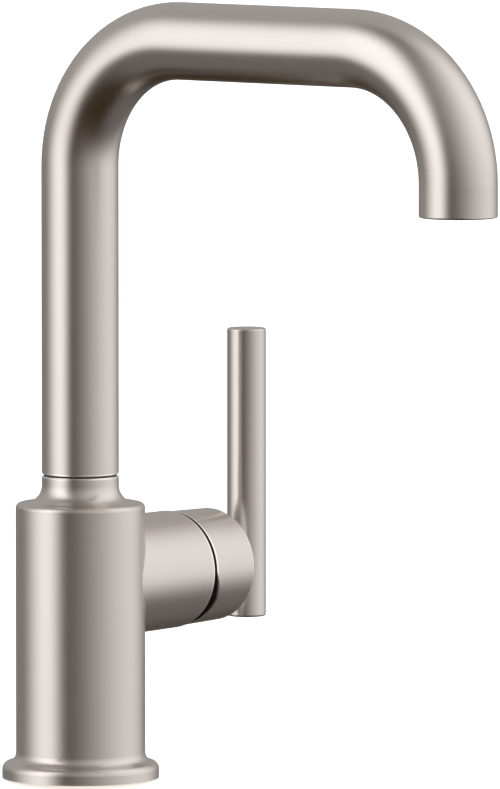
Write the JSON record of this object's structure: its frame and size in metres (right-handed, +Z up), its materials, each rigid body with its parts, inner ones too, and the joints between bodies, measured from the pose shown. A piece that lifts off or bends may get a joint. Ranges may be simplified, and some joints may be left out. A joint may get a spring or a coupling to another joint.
{
  "type": "gooseneck bar faucet",
  "caption": "Deck-mounted gooseneck bar faucet with a swivelling spout and a single upright side lever on a turning, tilting hub.",
  "frame": {"origin": "centre of the underside of the foot, on the deck", "axes": "+Z up, -Y out along the spout at rest, +X along the valve axis towards the lever"},
  "size_m": [0.1366, 0.218, 0.2911],
  "materials": {
    "body_nickel": "satin brushed nickel plate",
    "spout_nickel": "satin brushed nickel plate",
    "hub_nickel": "satin brushed nickel plate",
    "lever_nickel": "satin brushed nickel plate",
    "plain_brass": "turned, unplated",
    "stainless_steel": "bright machined",
    "black_rubber": "moulded, matt",
    "dark_plastic": "moulded, matt",
    "white_acetal": "moulded, satin",
    "cartridge_plastic": "moulded, satin",
    "ceramic": "lapped alumina ceramic"
  },
  "bodies": {
    "body": {"faucet_body": "body_nickel", "base_gasket": "black_rubber", "cartridge_base": "cartridge_plastic", "port_seals": "black_rubber", "fixed_disc": "ceramic", "cartridge_housing": "cartridge_plastic", "cartridge_nut": "plain_brass", "spout_retaining_screw": "stainless_steel"},
    "spout": {"spout_tube": "spout_nickel", "swivel_washer": "dark_plastic", "spout_nipple": "plain_brass", "spout_o_rings": "black_rubber", "spout_guide_ring": "white_acetal", "outlet_bushing": "plain_brass", "aerator_washer": "black_rubber", "aerator_housing": "white_acetal", "aerator_honeycomb": "white_acetal", "aerator_screen": "stainless_steel"},
    "rotor": {"stem_carrier": "dark_plastic", "pivot_pin": "stainless_steel"},
    "handle": {"cartridge_stem": "stainless_steel", "handle_hub": "hub_nickel", "hub_set_screw": "stainless_steel", "set_screw_plug": "dark_plastic", "lever_post": "hub_nickel", "lever_rod": "lever_nickel", "lever_screw": "stainless_steel"},
    "valve_disc": {"moving_disc": "ceramic", "disc_driver": "dark_plastic"}
  },
  "joints": [
    {"name": "spout_swivel", "type": "hinge", "parent": "body", "child": "spout", "pos_m": [0, 0, 0.1145], "axis": [0, 0, 1], "continuous": true},
    {"name": "temperature", "type": "hinge", "parent": "body", "child": "rotor", "pos_m": [0.044, 0, 0.07505], "axis": [1, 0, 0], "range_deg": [-45, 45]},
    {"name": "flow", "type": "hinge", "parent": "rotor", "child": "handle", "pos_m": [0.044, 0, 0.07505], "axis": [0, 1, 0], "range_deg": [0, 11]},
    {"name": "disc_slide", "type": "slide", "parent": "rotor", "child": "valve_disc", "axis": [0, 0, 1], "range_m": [0, 0.0022]}
  ],
  "couplings": [
    {"joint": "disc_slide", "follows": "flow", "m_per_rad": 0.011}
  ]
}
